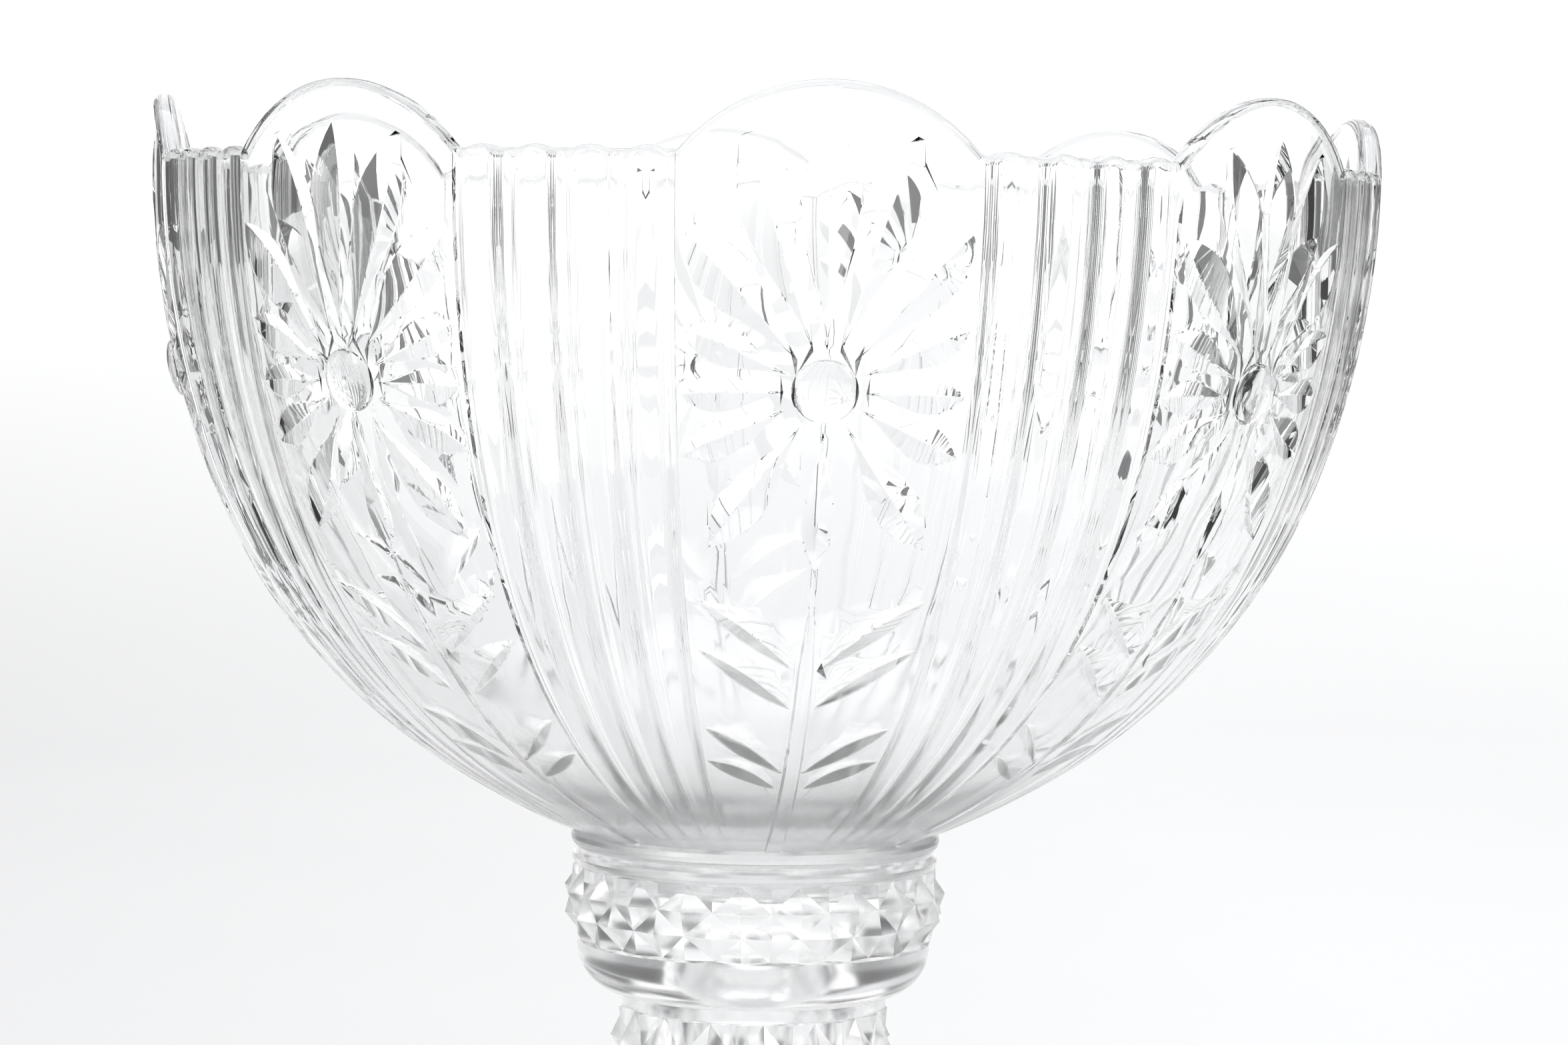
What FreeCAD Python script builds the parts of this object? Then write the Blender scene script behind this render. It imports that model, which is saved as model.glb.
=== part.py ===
"""A pressed-glass punch bowl on its own stand: two pieces that come apart by lifting the bowl.

The frame has +Z up and its origin at the middle of the stand's underside, where the set meets the table.
A flower panel of the bowl faces -Y. Sizes are millimetres and live in the spreadsheet called Sizes.
"""

import FreeCAD
import Part
import Sketcher

import math
import os
import re

PANEL_PAIRS = 8
PANEL_ANGLE = 360 / PANEL_PAIRS
RIBS_PER_PANEL = 4

# Sizes that can each be set by itself.
DRIVING_SIZES = {
    # the bowl: every height is measured up from the seat, where it rests on the stand
    "rim_radius": 152.0,
    "bowl_height": 170.0,
    "wall_thickness": 5.5,
    "foot_radius": 45.4,
    "foot_bead_height": 4.5,
    "foot_bead_round": 2.6,
    "bead_tuck": 1.2,
    "floor_top": 9.5,
    "floor_underside": 3.5,
    "floor_inset": 1.4,
    "floor_lift": 4.5,
    # where the wall's three arcs meet, as shares of the way from the foot to the rim
    "shoulder_out": 0.89,
    "shoulder_up": 0.577,
    "belly_out": 0.327,
    "belly_up": 0.112,
    # the scalloped rim over each flower panel, which is two scallop angles wide
    "scallop_rise": 15.6,
    "scallop_angle": 12.75,
    # the flutes cut down the panels between the flowers, which leave four flat ribs standing
    "flute_angle": 2.05,
    "flute_depth": 1.0,
    "flute_start": 3.0,
    # the joint between the bowl and the stand
    "seat_width": 6.2,
    "spigot_wall": 6.0,
    "spigot_depth": 8.0,
    "fit_clearance": 0.3,
    "floor_gap": 1.0,
    # the stand: every height is measured up from the table
    "stand_height": 140.0,
    "top_bead_height": 4.0,
    "band_height": 19.5,
    "band_round": 15.5,
    "band_tuck": 1.2,
    "cup_height": 13.0,
    "cup_round": 12.0,
    "neck_radius": 33.5,
    "neck_height": 3.0,
    "knop_height": 18.0,
    "knop_round": 12.5,
    "knop_tuck": 2.0,
    "stem_radius": 27.0,
    "stem_height": 5.0,
    "base_radius": 86.0,
    "base_edge_height": 7.0,
    "base_edge_round": 2.0,
    "stand_wall": 8.0,
    "web_thickness": 13.0,
}

# Sizes that follow from them, each a formula of the sheet.
FOLLOWING_SIZES = {
    "wall_run": "=rim_radius - foot_radius",
    "wall_rise": "=bowl_height - foot_bead_height",
    "shoulder_radius": "=foot_radius + shoulder_out * wall_run",
    "shoulder_height": "=foot_bead_height + shoulder_up * wall_rise",
    "belly_radius": "=foot_radius + belly_out * wall_run",
    "belly_height": "=foot_bead_height + belly_up * wall_rise",
    # how far the wall's outward direction has tipped down from level where each arc ends
    "shoulder_tip": "=2 * atan((rim_radius - shoulder_radius) / (bowl_height - shoulder_height))",
    "belly_lean": "=atan((shoulder_radius - belly_radius) / (shoulder_height - belly_height))",
    "belly_tip": "=2 * belly_lean - shoulder_tip",
    "foot_lean": "=atan((belly_radius - foot_radius) / (belly_height - foot_bead_height))",
    "foot_tip": "=2 * foot_lean - belly_tip",
    # the radius of each of the wall's arcs: half its chord over the sine of half its turn
    "rim_drop": "=bowl_height - shoulder_height",
    "shoulder_drop": "=shoulder_height - belly_height",
    "belly_drop": "=belly_height - foot_bead_height",
    "rim_arc": "=rim_drop / (2 * cos(shoulder_tip / 2) * sin(shoulder_tip / 2))",
    "shoulder_arc": "=shoulder_drop / (2 * cos(belly_lean) * sin((belly_tip - shoulder_tip) / 2))",
    "belly_arc": "=belly_drop / (2 * cos(foot_lean) * sin((foot_tip - belly_tip) / 2))",
    "floor_radius": "=foot_radius - floor_inset",
    "seat_radius": "=foot_radius - bead_tuck",
    "rib_pitch": f"=({PANEL_ANGLE} - 2 * scallop_angle) / {RIBS_PER_PANEL}",
    "spigot_radius": "=seat_radius - seat_width",
    "scallop_half_width": "=rim_radius * sin(scallop_angle * 1 deg)",
    "scallop_round": "=(scallop_half_width ^ 2 + scallop_rise ^ 2) / (2 * scallop_rise)",
    "blank_height": "=bowl_height + scallop_rise + 2",
    "trim_half_width": f"=rim_radius * tan({PANEL_ANGLE / 2} deg)",
    "socket_radius": "=spigot_radius + fit_clearance",
    "socket_depth": "=spigot_depth + floor_gap",
    "band_top": "=stand_height - top_bead_height",
    "band_bottom": "=band_top - band_height",
    "cup_bottom": "=band_bottom - cup_height",
    "knop_top": "=cup_bottom - neck_height",
    "knop_bottom": "=knop_top - knop_height",
    "stem_bottom": "=knop_bottom - stem_height",
    "web_bottom": "=stand_height - socket_depth - web_thickness",
    "core_radius": "=stem_radius - stand_wall",
    "core_height": "=web_bottom - core_radius",
    "flare_run": "=base_radius - stem_radius",
    "flare_drop": "=stem_bottom - base_edge_height",
    "flare_round": "=(flare_run ^ 2 + flare_drop ^ 2) / (2 * flare_run)",
    "hollow_round": "=flare_round + stand_wall",
    "hollow_radius": "=stem_radius + flare_round - sqrt(hollow_round ^ 2 - stem_bottom ^ 2)",
}

doc = FreeCAD.newDocument("PunchBowl")
sheet = doc.addObject("Spreadsheet::Sheet", "Sizes")
for row, (alias, content) in enumerate((DRIVING_SIZES | FOLLOWING_SIZES).items(), start=1):
    sheet.set(f"A{row}", alias)
    sheet.set(f"B{row}", str(content))
    sheet.setAlias(f"B{row}", alias)
doc.recompute()


# ---------------------------------------------------------------- helpers


def from_sheet(expression):
    """The expression as any other object writes it: every name of the sheet has an underscore in it."""
    return re.sub(r"[a-z]+(?:_[a-z]+)+", r"Sizes.\g<0>", expression)


def size(expression):
    """The number that an expression of sheet names comes to."""
    value = sheet.evalExpression(from_sheet(expression))
    return float(getattr(value, "Value", value))


def new_body(label, up="0"):
    """A body with a name of its own, standing at a height above the table."""
    body = doc.addObject("PartDesign::Body", label)
    body.Label = label
    body.Placement = FreeCAD.Placement(FreeCAD.Vector(0, 0, size(up)), FreeCAD.Rotation())
    body.setExpression("Placement.Base.z", from_sheet(up))
    return body


def new_sketch(body, name, turn="0"):
    """A sketch on the upright plane through the axis, turned about the axis by an angle in degrees."""
    sketch = body.newObject("Sketcher::SketchObject", name)
    plane = next(item for item in body.Origin.OriginFeatures if item.Role == "XZ_Plane")
    sketch.AttachmentSupport = [(plane, "")]
    sketch.MapMode = "FlatFace"
    turned = FreeCAD.Rotation(FreeCAD.Vector(0, 1, 0), size(turn))
    sketch.AttachmentOffset = FreeCAD.Placement(FreeCAD.Vector(0, 0, 0), turned)
    sketch.setExpression("AttachmentOffset.Rotation.Angle", from_sheet(f"({turn}) * 1 deg"))
    return sketch


def arc_centre(start, end, radius, bulge):
    """Centre of the shorter arc; bulge 1 swells to the right of the way from start to end, -1 to the left."""
    chord = end - start
    right = FreeCAD.Vector(chord.y, -chord.x, 0).normalize() * bulge
    return (start + end) / 2 - right * math.sqrt(max(radius**2 - (chord.Length / 2) ** 2, 0.0))


def onward_centre(start, end, heading):
    """Centre of the arc that leaves start along heading and comes to end."""
    left = FreeCAD.Vector(-heading.y, heading.x, 0)
    chord = end - start
    return start + left * (chord.Length**2 / (2 * chord.dot(left)))


def add_arc(sketch, start, end, centre):
    """Adds the shorter arc about centre, and tells its number, the ends it starts and stops at, and its heading."""
    radius = (start - centre).Length
    first = math.atan2(start.y - centre.y, start.x - centre.x)
    last = math.atan2(end.y - centre.y, end.x - centre.x)
    sweep = (last - first + math.pi) % (2 * math.pi) - math.pi
    low, high = (first, first + sweep) if sweep > 0 else (last, last - sweep)
    circle = Part.Circle(centre, FreeCAD.Vector(0, 0, 1), radius)
    number = sketch.addGeometry(Part.ArcOfCircle(circle, low, high), False)
    outward = (end - centre) / radius
    turn_way = 1 if sweep > 0 else -1
    heading = FreeCAD.Vector(-outward.y, outward.x, 0) * turn_way
    ends = (1, 2) if sweep > 0 else (2, 1)
    return number, ends, heading


def place_corner(sketch, geometry, end, out, up):
    """Ties an end of an edge to its two expressions, out from the axis and up."""
    for expression, kind, axis in ((out, "DistanceX", -2), (up, "DistanceY", -1)):
        if expression == "0":
            sketch.addConstraint(Sketcher.Constraint("PointOnObject", geometry, end, axis))
            continue
        rule = Sketcher.Constraint(kind, -1, 1, geometry, end, size(expression))
        number = sketch.addConstraint(rule)
        sketch.setExpression(f"Constraints[{number}]", from_sheet(expression))


def draw_outline(sketch, corners, edges):
    """Closes a loop through the corners, each two expressions. Edge n leaves corner n, and it is "line",
    "onward" for an arc that carries on smoothly from the edge before it, or (radius, bulge) for an arc."""
    points = [FreeCAD.Vector(size(out), size(up), 0) for out, up in corners]
    drawn = []
    heading = None
    for number, kind in enumerate(edges):
        start = points[number]
        end = points[(number + 1) % len(points)]
        if kind == "line":
            geometry = sketch.addGeometry(Part.LineSegment(start, end), False)
            drawn.append((geometry, (1, 2)))
            heading = (end - start).normalize()
            continue
        if kind == "onward":
            centre = onward_centre(start, end, heading)
        else:
            centre = arc_centre(start, end, size(kind[0]), kind[1])
        geometry, ends, heading = add_arc(sketch, start, end, centre)
        drawn.append((geometry, ends))
    for number, kind in enumerate(edges):
        geometry, (begin, _) = drawn[number]
        before, (_, finish) = drawn[number - 1]
        joint = "Tangent" if kind == "onward" else "Coincident"
        sketch.addConstraint(Sketcher.Constraint(joint, before, finish, geometry, begin))
        place_corner(sketch, geometry, begin, *corners[number])
        if kind not in ("line", "onward"):
            rule = sketch.addConstraint(Sketcher.Constraint("Radius", geometry, size(kind[0])))
            sketch.setExpression(f"Constraints[{rule}]", from_sheet(kind[0]))


def spin(body, name, sketch, angle="360", kind="PartDesign::Revolution"):
    """Revolves a sketch about the axis, half of the angle to each side."""
    feature = body.newObject(kind, name)
    feature.Profile = sketch
    feature.ReferenceAxis = (sketch, ["V_Axis"])
    feature.Midplane = angle != "360"
    feature.Angle = size(angle)
    feature.setExpression("Angle", from_sheet(f"({angle}) * 1 deg"))
    sketch.Visibility = False
    doc.recompute()
    return feature


def repeat_round(body, name, originals):
    """Repeats features around the axis, once for each pair of panels."""
    pattern = body.newObject("PartDesign::PolarPattern", name)
    pattern.Originals = originals
    pattern.Axis = (originals[0].Profile[0], ["V_Axis"])
    pattern.Angle = 360
    pattern.Occurrences = PANEL_PAIRS
    body.Tip = pattern
    doc.recompute()
    return pattern


def must_change(before, feature, way):
    """Stops the build if a feature left the solid's volume as it was, or moved it the wrong way."""
    change = feature.Shape.Volume - before
    if change * way <= 1.0:
        raise RuntimeError(f"{feature.Label} changed the volume by {change:.1f} mm3")


# ---------------------------------------------------------------- the bowl


def wall_corner(where, beyond="0"):
    """A point of the wall's outer face, or beyond it along the way it faces; a minus sign goes into the glass."""
    place = {
        "rim": ("rim_radius", "bowl_height", "0 deg"),
        "shoulder": ("shoulder_radius", "shoulder_height", "shoulder_tip"),
        "belly": ("belly_radius", "belly_height", "belly_tip"),
        "foot": ("foot_radius", "foot_bead_height", "foot_tip"),
    }
    out, up, tip = place[where]
    return f"{out} + ({beyond}) * cos({tip})", f"{up} - ({beyond}) * sin({tip})"


WALL_ARCS = ("belly_arc", "shoulder_arc", "rim_arc")


def turn_wall(body):
    """The whole wall as one turned shape: spigot, seat, foot bead, bellied wall and a tall plain rim."""
    sketch = new_sketch(body, "WallOutline")
    inward = "-wall_thickness"
    corners = [
        ("0", "floor_underside"),
        ("spigot_radius - spigot_wall", "floor_underside"),
        ("spigot_radius - spigot_wall", "-spigot_depth"),
        ("spigot_radius", "-spigot_depth"),
        ("spigot_radius", "0"),
        ("seat_radius", "0"),
        ("foot_radius", "foot_bead_height"),
        wall_corner("belly"),
        wall_corner("shoulder"),
        ("rim_radius", "bowl_height"),
        ("rim_radius", "blank_height"),
        ("rim_radius - wall_thickness", "blank_height"),
        ("rim_radius - wall_thickness", "bowl_height"),
        wall_corner("shoulder", inward),
        wall_corner("belly", inward),
        ("floor_radius", "floor_top + floor_lift"),
        ("0", "floor_top"),
    ]
    edges = ["line"] * 5 + [("foot_bead_round", 1)]
    edges += [(arc, 1) for arc in WALL_ARCS]
    edges += ["line"] * 3 + ["onward"] * 4 + ["line"]
    draw_outline(sketch, corners, edges)
    return spin(body, "Wall", sketch)


def trim_scallops(body, before):
    """Cuts the tall rim down to a flat edge, leaving a round-topped scallop over each flower panel."""
    sketch = new_sketch(body, "ScallopOutline")
    corners = [
        ("-trim_half_width", "bowl_height"),
        ("-scallop_half_width", "bowl_height"),
        ("scallop_half_width", "bowl_height"),
        ("trim_half_width", "bowl_height"),
        ("trim_half_width", "blank_height + wall_thickness"),
        ("-trim_half_width", "blank_height + wall_thickness"),
    ]
    edges = ["line", ("scallop_round", -1), "line", "line", "line", "line"]
    draw_outline(sketch, corners, edges)
    cut = body.newObject("PartDesign::Pocket", "RimTrim")
    cut.Profile = sketch
    cut.Type = "ThroughAll"
    sketch.Visibility = False
    doc.recompute()
    pattern = repeat_round(body, "RimTrimAround", [cut])
    must_change(before, pattern, -1)
    return pattern


def cut_flute(body, number, middle, angle):
    """One flute: a thin slice of a turned band, taken out of the wall's face from the rim to the foot."""
    sketch = new_sketch(body, f"FluteOutline{number}", middle)
    inner = [wall_corner(where, "-flute_depth") for where in ("foot", "belly", "shoulder", "rim")]
    outer = [wall_corner(where, "flute_start") for where in ("rim", "shoulder", "belly", "foot")]
    rim_out, rim_up = inner[-1]
    inner.append((rim_out, f"{rim_up} + flute_start"))
    rim_out, rim_up = outer[0]
    outer[0] = (rim_out, f"{rim_up} + flute_start")
    outer.insert(1, (rim_out, rim_up))
    edges = [(f"{arc} - flute_depth", 1) for arc in WALL_ARCS] + ["line"] * 3
    edges += [(f"{arc} + flute_start", -1) for arc in reversed(WALL_ARCS)] + ["line"]
    draw_outline(sketch, inner + outer, edges)
    return spin(body, f"Flute{number}", sketch, angle, "PartDesign::Groove")


def cut_flutes(body, before):
    """Flutes between the ribs of each plain panel, and half a flute along each flower panel's edge."""
    flutes = []
    for number in range(RIBS_PER_PANEL + 1):
        steps = number - RIBS_PER_PANEL / 2
        at_edge = number in (0, RIBS_PER_PANEL)
        inward = f"{-math.copysign(0.25, steps)} * flute_angle" if at_edge else "0"
        middle = f"{PANEL_ANGLE / 2} + {steps} * rib_pitch + {inward}"
        angle = "flute_angle / 2" if at_edge else "flute_angle"
        flutes.append(cut_flute(body, number + 1, middle, angle))
    pattern = repeat_round(body, "FlutesAround", flutes)
    must_change(before, pattern, -1)
    return pattern


def make_bowl():
    """The bowl, resting on the stand's top."""
    body = new_body("bowl", "stand_height")
    wall = turn_wall(body)
    trimmed = trim_scallops(body, wall.Shape.Volume)
    cut_flutes(body, trimmed.Shape.Volume)
    return body


# ---------------------------------------------------------------- the stand


def make_stand():
    """The stand as one turned shape: socket, top bead, cut band, cup, knop, flared foot and hollow core."""
    body = new_body("stand")
    sketch = new_sketch(body, "StandOutline")
    corners_and_edges = [
        (("0", "stand_height - socket_depth"), "line"),
        (("socket_radius", "stand_height - socket_depth"), "line"),
        (("socket_radius", "stand_height"), "line"),
        (("seat_radius", "stand_height"), ("foot_bead_round", -1)),
        (("foot_radius", "band_top"), ("band_round", -1)),
        (("foot_radius - band_tuck", "band_bottom"), ("cup_round", -1)),
        (("neck_radius", "cup_bottom"), "line"),
        (("neck_radius", "knop_top"), ("knop_round", -1)),
        (("neck_radius - knop_tuck", "knop_bottom"), "line"),
        (("stem_radius", "stem_bottom"), ("flare_round", 1)),
        (("base_radius", "base_edge_height"), "line"),
        (("base_radius", "base_edge_round"), ("base_edge_round", -1)),
        (("base_radius - base_edge_round", "0"), "line"),
        (("hollow_radius", "0"), ("hollow_round", -1)),
        (("core_radius", "stem_bottom"), "line"),
        (("core_radius", "core_height"), "onward"),
        (("0", "web_bottom"), "line"),
    ]
    corners, edges = zip(*corners_and_edges)
    draw_outline(sketch, corners, edges)
    spin(body, "StandShape", sketch)
    return body


# ---------------------------------------------------------------- build, check and write


def check_everything(bodies):
    """Stops the build if any object failed, or a body isn't one sound solid."""
    for item in doc.Objects:
        if {"Invalid", "Error"} & set(item.State):
            raise RuntimeError(f"{item.Label} is {item.State}")
    for body in bodies:
        shape = body.Shape
        if shape.isNull() or not shape.isValid() or len(shape.Solids) != 1:
            raise RuntimeError(f"{body.Label} isn't one sound solid")


bodies = [make_stand(), make_bowl()]
doc.recompute()
check_everything(bodies)
os.makedirs("parts", exist_ok=True)
for body in bodies:
    body.Shape.exportStep(f"parts/{body.Label}.step")
    box = body.Shape.optimalBoundingBox(False)
    print(f"{body.Label}: {box.XLength:.1f} x {box.YLength:.1f} x {box.ZLength:.1f} mm,", end=" ")
    print(f"from {box.ZMin:.1f} to {box.ZMax:.1f} up, {body.Shape.Volume / 1000:.1f} cm3")
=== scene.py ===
# %% [markdown]
# # A pressed-glass punch bowl on its stand
#
# The real object is two heavy castings of clear glass. The bowl has a scalloped rim, eight
# panels with a flower cut into them and eight panels of upright flutes between. It drops on to
# a stand that has two bands of diamonds and a flared foot. Clear glass has no colour of its own,
# so everything that the eye sees is shape: where a facet starts, how deep it goes and what it
# bends the light towards. That is why almost all of this lesson is about modelling.
#
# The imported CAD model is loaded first. It fixes the size and the place of both pieces, and the
# glass modelled here stands in for its two plain nodes.

# %% Load the fixed frame
import math

import bpy
from mathutils import Matrix, Vector


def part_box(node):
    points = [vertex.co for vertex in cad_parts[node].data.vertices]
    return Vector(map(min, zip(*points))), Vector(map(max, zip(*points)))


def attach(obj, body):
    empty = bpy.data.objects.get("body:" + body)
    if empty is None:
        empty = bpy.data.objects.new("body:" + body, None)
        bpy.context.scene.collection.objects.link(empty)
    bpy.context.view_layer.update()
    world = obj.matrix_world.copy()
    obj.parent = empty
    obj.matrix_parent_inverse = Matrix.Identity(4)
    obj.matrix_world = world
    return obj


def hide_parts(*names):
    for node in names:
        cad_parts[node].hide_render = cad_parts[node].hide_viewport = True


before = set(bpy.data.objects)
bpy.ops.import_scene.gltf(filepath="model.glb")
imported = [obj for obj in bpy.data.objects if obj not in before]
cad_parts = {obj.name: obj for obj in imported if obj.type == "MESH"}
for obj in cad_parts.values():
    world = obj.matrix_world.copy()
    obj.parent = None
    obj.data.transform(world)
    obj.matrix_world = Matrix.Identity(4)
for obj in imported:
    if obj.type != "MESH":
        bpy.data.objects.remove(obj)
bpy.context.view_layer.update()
bowl_low, bowl_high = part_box("bowl")
stand_low, stand_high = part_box("stand")

MM = 0.001
SEAT_Z = stand_high.z                            # the bowl rests here
RIM_RADIUS = (bowl_high.x - bowl_low.x) / 2
SCALLOP_RISE = 15.6 * MM
RIM_Z = bowl_high.z - SCALLOP_RISE               # height of the rim between two scallops
print("seat at", round(SEAT_Z, 4), "rim radius", round(RIM_RADIUS, 4), "rim at", round(RIM_Z, 4))

# %% Small helpers for choosing what an operator works on
def only(piece):
    """Deselects everything, then selects one piece and makes it active."""
    bpy.ops.object.select_all(action="DESELECT")
    piece.select_set(True)
    bpy.context.view_layer.objects.active = piece
    return piece


def edit(piece, kind="VERT"):
    """Opens one piece in edit mode with everything in it selected."""
    only(piece)
    bpy.ops.object.mode_set(mode="EDIT")
    bpy.ops.mesh.select_mode(type=kind)
    bpy.ops.mesh.select_all(action="SELECT")


def close_edit():
    bpy.ops.object.mode_set(mode="OBJECT")


def pick(piece, kind, test):
    """Selects the vertices, edges or faces that pass a test, and opens the piece in edit mode."""
    edit(piece, kind)
    bpy.ops.mesh.select_all(action="DESELECT")
    close_edit()
    mesh = piece.data
    chosen = 0
    for part in {"VERT": mesh.vertices, "EDGE": mesh.edges, "FACE": mesh.polygons}[kind]:
        if kind == "VERT":
            places = [part.co]
        else:
            places = [mesh.vertices[v].co for v in part.vertices]
        part.select = test(places)
        chosen += part.select
    bpy.ops.object.mode_set(mode="EDIT")
    return chosen


def merge_close(piece, distance):
    edit(piece)
    bpy.ops.mesh.remove_doubles(threshold=distance)
    close_edit()


def face_outwards(piece):
    edit(piece, "FACE")
    bpy.ops.mesh.normals_make_consistent(inside=False)
    close_edit()


def open_edges(piece):
    """Counts the edges that don't have exactly two faces: a closed piece has none."""
    sides = {}
    for face in piece.data.polygons:
        for key in face.edge_keys:
            sides[key] = sides.get(key, 0) + 1
    return sum(1 for count in sides.values() if count != 2)


def triangles(piece):
    return sum(len(face.vertices) - 2 for face in piece.data.polygons)


# %% [markdown]
# ## The bowl's outline
#
# A bowl like this is turned from one outline. Its outer wall is three arcs that run into each
# other: almost upright under the rim, round at the belly and flatter towards the foot. Each arc
# is known from where it starts, the way it heads and where it ends, so a short function works
# out its centre and how far it turns. Any place on the wall is then one number: the distance
# down the wall from the rim.

# %% Arcs that run on from each other
def turned(v, angle):
    c, s = math.cos(angle), math.sin(angle)
    return Vector((v.x * c - v.y * s, v.x * s + v.y * c))


def arc_onward(start, heading, end):
    """The arc that leaves start along heading and reaches end."""
    chord = end - start
    side = Vector((-heading.y, heading.x))
    turn = 2 * math.atan2(chord.dot(side), chord.dot(heading))
    radius = chord.length_squared / (2 * chord.dot(side))
    return {"start": start, "heading": heading, "centre": start + side * radius,
            "turn": turn, "length": abs(radius * turn)}


def along(arc, share):
    """The point and the heading at a share of an arc's length."""
    angle = arc["turn"] * share
    spot = arc["centre"] + turned(arc["start"] - arc["centre"], angle)
    return spot, turned(arc["heading"], angle)


def place(radius_mm, height_mm):
    return Vector((radius_mm, height_mm)) * MM


WALL = 5.5 * MM
SHOULDER, BELLY, FOOT = place(140.27, -70.0), place(80.26, -146.96), place(45.4, -165.5)
wall_arcs = []
heading = Vector((0, -1))
corner = Vector((RIM_RADIUS, 0))
for stop in (SHOULDER, BELLY, FOOT):
    wall_arcs.append(arc_onward(corner, heading, stop))
    corner, heading = along(wall_arcs[-1], 1)
BELLY_DOWN = wall_arcs[0]["length"] + wall_arcs[1]["length"]
FOOT_DOWN = BELLY_DOWN + wall_arcs[2]["length"]
print("wall length from rim to foot:", round(FOOT_DOWN / MM, 1), "mm")

# %% Outer and inner wall at a distance down from the rim
def outer_wall(down):
    """The point of the outer wall and the way straight out of it."""
    if down <= 0:                                # the scallops go straight up
        return Vector((RIM_RADIUS, -down)), Vector((1, 0))
    for arc in wall_arcs:
        if down <= arc["length"] or arc is wall_arcs[-1]:
            point, way = along(arc, down / arc["length"])
            return point, Vector((-way.y, way.x))
        down -= arc["length"]


FLOOR_CORNER = place(44.0, -156.0)
FLOOR_MIDDLE = -160.5 * MM
FLOOR_RADIUS = 217.4 * MM
belly_point, belly_out = outer_wall(BELLY_DOWN)
belly_heading = Vector((belly_out.y, -belly_out.x))
inner_arc = arc_onward(belly_point - belly_out * WALL, belly_heading, FLOOR_CORNER)


def inner_wall(down):
    if down <= BELLY_DOWN:
        point, out = outer_wall(down)
        return point - out * WALL
    return along(inner_arc, (down - BELLY_DOWN) / (FOOT_DOWN - BELLY_DOWN))[0]


def floor_height(radius):
    return FLOOR_MIDDLE + FLOOR_RADIUS - math.sqrt(FLOOR_RADIUS ** 2 - radius ** 2)


# %% [markdown]
# ## One eighth of the bowl as a flat plate
#
# The pattern repeats eight times, so one eighth is modelled and the rest are copies. It starts as
# a flat grid, like the wall unrolled on a table: across is the way round, down is the way down
# the wall, and through is the thickness. The grid's columns stand where the flutes need them and
# its rows follow the wall and then the foot, the seat and the ring underneath.

# %% Where the columns and rows of the plate stand
PANELS = 8
HALF_SECTOR = 180 / PANELS                       # degrees
FIELD_EDGE = 12.75                               # half of a flower panel, degrees
STEP = 0.12                                      # the steep side of a flower panel
GROOVE_PITCH = 4.875
GROOVE_HALF = 1.025
GROOVE_DEPTH = 1.0 * MM


def spaced(first, last, parts):
    return [first + (last - first) * k / parts for k in range(parts)]


half_columns = (
    spaced(0, FIELD_EDGE, 10)
    + spaced(FIELD_EDGE, FIELD_EDGE + STEP, 1)
    + spaced(FIELD_EDGE + STEP, FIELD_EDGE + GROOVE_HALF, 3)
    + spaced(FIELD_EDGE + GROOVE_HALF, FIELD_EDGE + GROOVE_PITCH - GROOVE_HALF, 4)
    + spaced(FIELD_EDGE + GROOVE_PITCH - GROOVE_HALF, FIELD_EDGE + GROOVE_PITCH + GROOVE_HALF, 6)
    + spaced(FIELD_EDGE + GROOVE_PITCH + GROOVE_HALF, HALF_SECTOR - GROOVE_HALF, 4)
    + spaced(HALF_SECTOR - GROOVE_HALF, HALF_SECTOR, 3)
    + [HALF_SECTOR]
)
COLUMNS = [-a for a in reversed(half_columns[1:])] + half_columns

RIM_ROUND = 2.1 * MM                             # how far the rim's rounded edges reach
STRETCH_END = 14 * MM
WALL_ROWS = ([0, 2.5 * MM] + spaced(5.3 * MM, STRETCH_END, 3)
             + spaced(STRETCH_END, FOOT_DOWN, 28) + [FOOT_DOWN])
# outer radius, height above the seat and inner radius, in mm, from the foot's bead to the middle
BASE_ROWS = [
    (46.07, 3.57, 43.2), (46.28, 2.44, 42.4), (45.97, 1.33, 41.6), (45.24, 0.47, 40.8),
    (44.2, 0.15, 40.0), (38.2, 0.15, 36.0), (38.0, -0.1, 35.5), (38.0, -7.5, 35.0),
    (37.5, -8.0, 34.5), (32.5, -8.0, 31.0), (32.0, -7.5, 30.5), (32.0, 3.5, 30.0),
    (22.0, 3.5, 20.0), (11.0, 3.5, 10.0), (0.0, 3.5, 0.0),
]
ROWS = WALL_ROWS + [FOOT_DOWN + (k + 1) * MM for k in range(len(BASE_ROWS))]
print(len(COLUMNS), "columns and", len(ROWS), "rows")

# %% Lay the plate flat, thicken it and round its rim
bpy.ops.object.select_all(action="DESELECT")
bpy.ops.mesh.primitive_grid_add(x_subdivisions=len(COLUMNS) - 1, y_subdivisions=len(ROWS) - 1,
                                size=2, location=(0, 0, 0))
bowl = bpy.context.object
bowl.name = bowl.data.name = "cut_bowl"
for v in bowl.data.vertices:
    column = round((v.co.x + 1) / 2 * (len(COLUMNS) - 1))
    row = round((1 - v.co.y) / 2 * (len(ROWS) - 1))
    v.co = (math.radians(COLUMNS[column]) * RIM_RADIUS, -ROWS[row], 0)
edit(bowl, "FACE")
bpy.ops.mesh.extrude_region_move(TRANSFORM_OT_translate={"value": (0, 0, -WALL)})
close_edit()
face_outwards(bowl)
chosen = pick(bowl, "EDGE", lambda ends: all(abs(p.y) < 1e-7 for p in ends)
              and abs(ends[0].z - ends[1].z) < 1e-7)
bpy.ops.mesh.bevel(offset=RIM_ROUND, segments=5, affect="EDGES")
close_edit()
print("rim edges rounded:", chosen, "open edges:", open_edges(bowl))

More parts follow.
